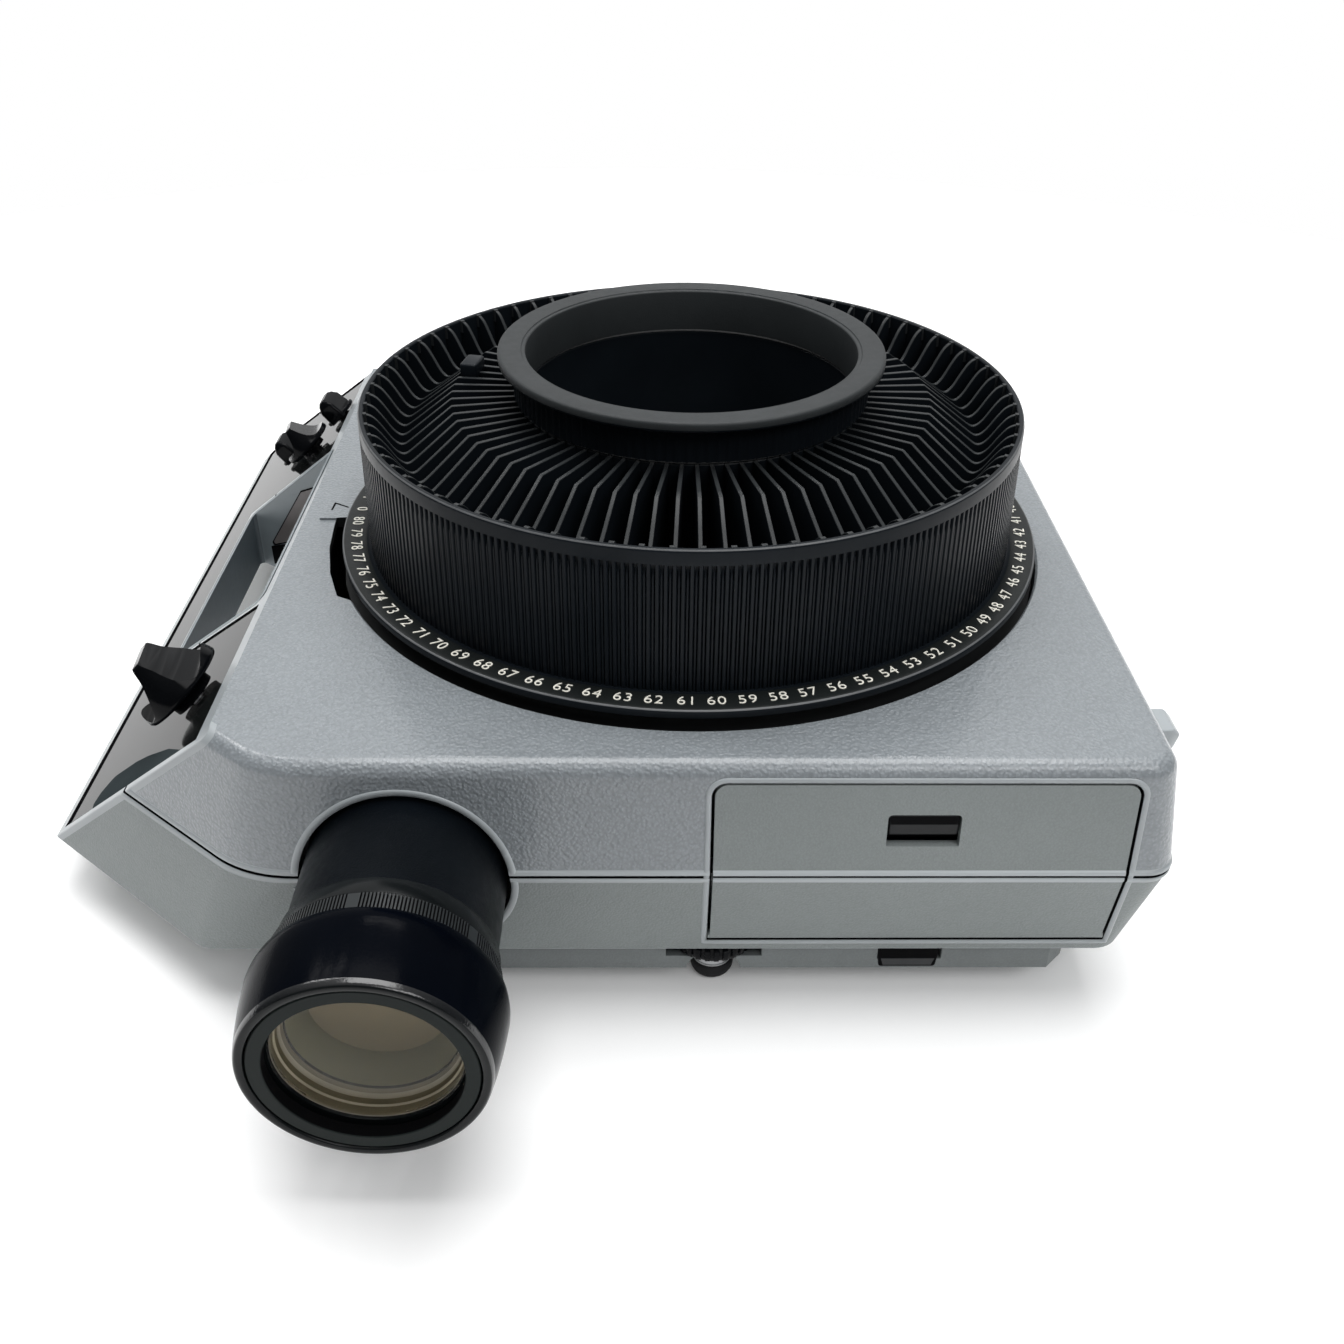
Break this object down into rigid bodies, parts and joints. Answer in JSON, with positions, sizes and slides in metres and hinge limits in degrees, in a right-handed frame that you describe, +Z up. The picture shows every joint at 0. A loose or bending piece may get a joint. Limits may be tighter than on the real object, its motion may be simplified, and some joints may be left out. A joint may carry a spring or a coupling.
{
  "type": "slide projector",
  "caption": "Rotary-tray slide projector with a zoom lens, sloped control side with hand hole, storage door and elevation foot.",
  "frame": {"origin": "centre of the footprint box on the surface that the projector stands on", "axes": "+Z up; the lens points along -Y; the sloped control side is at -X"},
  "size_m": [0.3626, 0.4242, 0.164],
  "materials": {
    "case_grey": "pebble-grained moulded plastic, cool mid grey",
    "tray_black": "satin black moulded plastic",
    "lens_black": "black wrinkle finish",
    "knob_black": "gloss black moulded plastic",
    "control_plate": "glossy silver-beige plate",
    "liner_slate": "smooth slate grey",
    "lens_glass": "coated glass with a warm tint",
    "steel": "plain",
    "aluminium": "satin",
    "brass": "machined",
    "copper": "enamelled copper winding",
    "circuit_board": "green board",
    "rubber": "matt black",
    "inner_black": "dark moulded plastic"
  },
  "bodies": {
    "root": {"upper_shell": "case_grey", "lower_shell": "case_grey", "base_pan": "case_grey", "side_lug": "case_grey", "exhaust_grille": "case_grey", "hub_post": "tray_black", "power_inlet": "knob_black", "remote_socket": "knob_black", "control_plate": "control_plate", "handle_well": "liner_slate", "condenser_front": "lens_glass", "condenser_rear": "lens_glass", "heat_glass": "lens_glass", "lamp": "lens_glass", "case_screw_front_left": "steel", "case_screw_front_right": "steel", "case_screw_rear_left": "steel", "case_screw_rear_right": "steel", "door_hinge_pin": "steel", "hub_screw": "steel", "fan_motor": "steel", "drive_motor": "steel", "transformer_core": "steel", "gate_front_plate": "aluminium", "gate_rear_plate": "aluminium", "lamp_house": "aluminium", "lamp_reflector": "aluminium", "transformer_coil": "copper", "circuit_board": "circuit_board", "rear_foot_left": "rubber", "rear_foot_right": "rubber", "storage_bin": "inner_black", "tray_deck": "inner_black", "lens_carrier": "inner_black", "lamp_socket": "inner_black"},
    "tray": {"tray_drum": "tray_black", "tray_dividers": "tray_black", "tray_base_plate": "aluminium"},
    "lock_ring": {"tray_lock_ring": "tray_black"},
    "door": {"access_door": "case_grey"},
    "latch": {"door_latch": "knob_black"},
    "lens": {"lens_rear_barrel": "lens_black", "rear_lens_element": "lens_glass"},
    "zoom": {"zoom_ring": "lens_black", "lens_front_barrel": "lens_black", "lens_retaining_ring": "lens_black", "lens_cell": "lens_black", "front_lens_element": "lens_glass"},
    "focus": {"focus_knob": "knob_black", "focus_shaft": "steel", "focus_pinion": "brass"},
    "power": {"power_knob": "knob_black"},
    "mode": {"mode_knob": "knob_black"},
    "timer": {"timer_knob": "knob_black"},
    "drive": {"drive_gear": "brass"},
    "fan": {"fan_wheel": "inner_black"},
    "lift": {"lift_lever": "steel"},
    "foot": {"elevation_screw": "steel", "elevation_foot": "rubber"},
    "foot_wheel": {"elevation_wheel": "knob_black"}
  },
  "joints": [
    {"name": "tray_turn", "type": "hinge", "parent": "root", "child": "tray", "pos_m": [0.03375, -0.0004, 0.12], "axis": [0, 0, 1], "continuous": true},
    {"name": "lock_ring_twist", "type": "hinge", "parent": "tray", "child": "lock_ring", "pos_m": [0.03375, -0.0004, 0.157], "axis": [0, 0, 1], "range_deg": [0, 15]},
    {"name": "door_hinge", "type": "hinge", "parent": "root", "child": "door", "pos_m": [0.0984, -0.1377, 0.0288], "axis": [1, 0, 0], "range_deg": [0, 85]},
    {"name": "latch_slide", "type": "slide", "parent": "door", "child": "latch", "axis": [0, 0, -1], "range_m": [0, 0.003], "stiffness_N_per_m": 300},
    {"name": "lens_focus", "type": "slide", "parent": "root", "child": "lens", "axis": [0, 1, 0], "range_m": [-0.0118, 0.0118]},
    {"name": "zoom_turn", "type": "hinge", "parent": "lens", "child": "zoom", "pos_m": [-0.05065, -0.1904, 0.055], "axis": [0, 1, 0], "range_deg": [-40, 40]},
    {"name": "focus_turn", "type": "hinge", "parent": "root", "child": "focus", "pos_m": [-0.12453, -0.0804, 0.07641], "axis": [-0.6956, 0, 0.7184], "range_deg": [-151, 151]},
    {"name": "power_turn", "type": "hinge", "parent": "root", "child": "power", "pos_m": [-0.14177, 0.1346, 0.05972], "axis": [-0.6956, 0, 0.7184], "range_deg": [0, 60]},
    {"name": "mode_turn", "type": "hinge", "parent": "root", "child": "mode", "pos_m": [-0.12525, 0.1056, 0.07572], "axis": [-0.6956, 0, 0.7184], "range_deg": [0, 120]},
    {"name": "timer_turn", "type": "hinge", "parent": "root", "child": "timer", "pos_m": [-0.11519, 0.1206, 0.08546], "axis": [-0.6956, 0, 0.7184], "range_deg": [0, 270]},
    {"name": "drive_spin", "type": "hinge", "parent": "root", "child": "drive", "pos_m": [0.12901, 0.0546, 0.092], "axis": [0, 0, 1], "continuous": true},
    {"name": "fan_spin", "type": "hinge", "parent": "root", "child": "fan", "pos_m": [0.04375, 0.1496, 0.044], "axis": [0, 0, 1], "continuous": true},
    {"name": "lift_travel", "type": "slide", "parent": "root", "child": "lift", "axis": [0, 0, 1], "range_m": [0, 0.06]},
    {"name": "foot_travel", "type": "slide", "parent": "root", "child": "foot", "axis": [0, 0, 1], "range_m": [-0.015, 0]},
    {"name": "foot_wheel_turn", "type": "hinge", "parent": "root", "child": "foot_wheel", "pos_m": [0.04025, -0.1239, 0.018], "axis": [0, 0, 1], "range_deg": [-1800.5, 0.5]}
  ],
  "couplings": [
    {"joint": "focus_turn", "follows": "lens_focus", "rad_per_m": 222.22},
    {"joint": "drive_spin", "follows": "tray_turn", "ratio": -8.1667},
    {"joint": "foot_wheel_turn", "follows": "foot_travel", "rad_per_m": 2094.4}
  ]
}
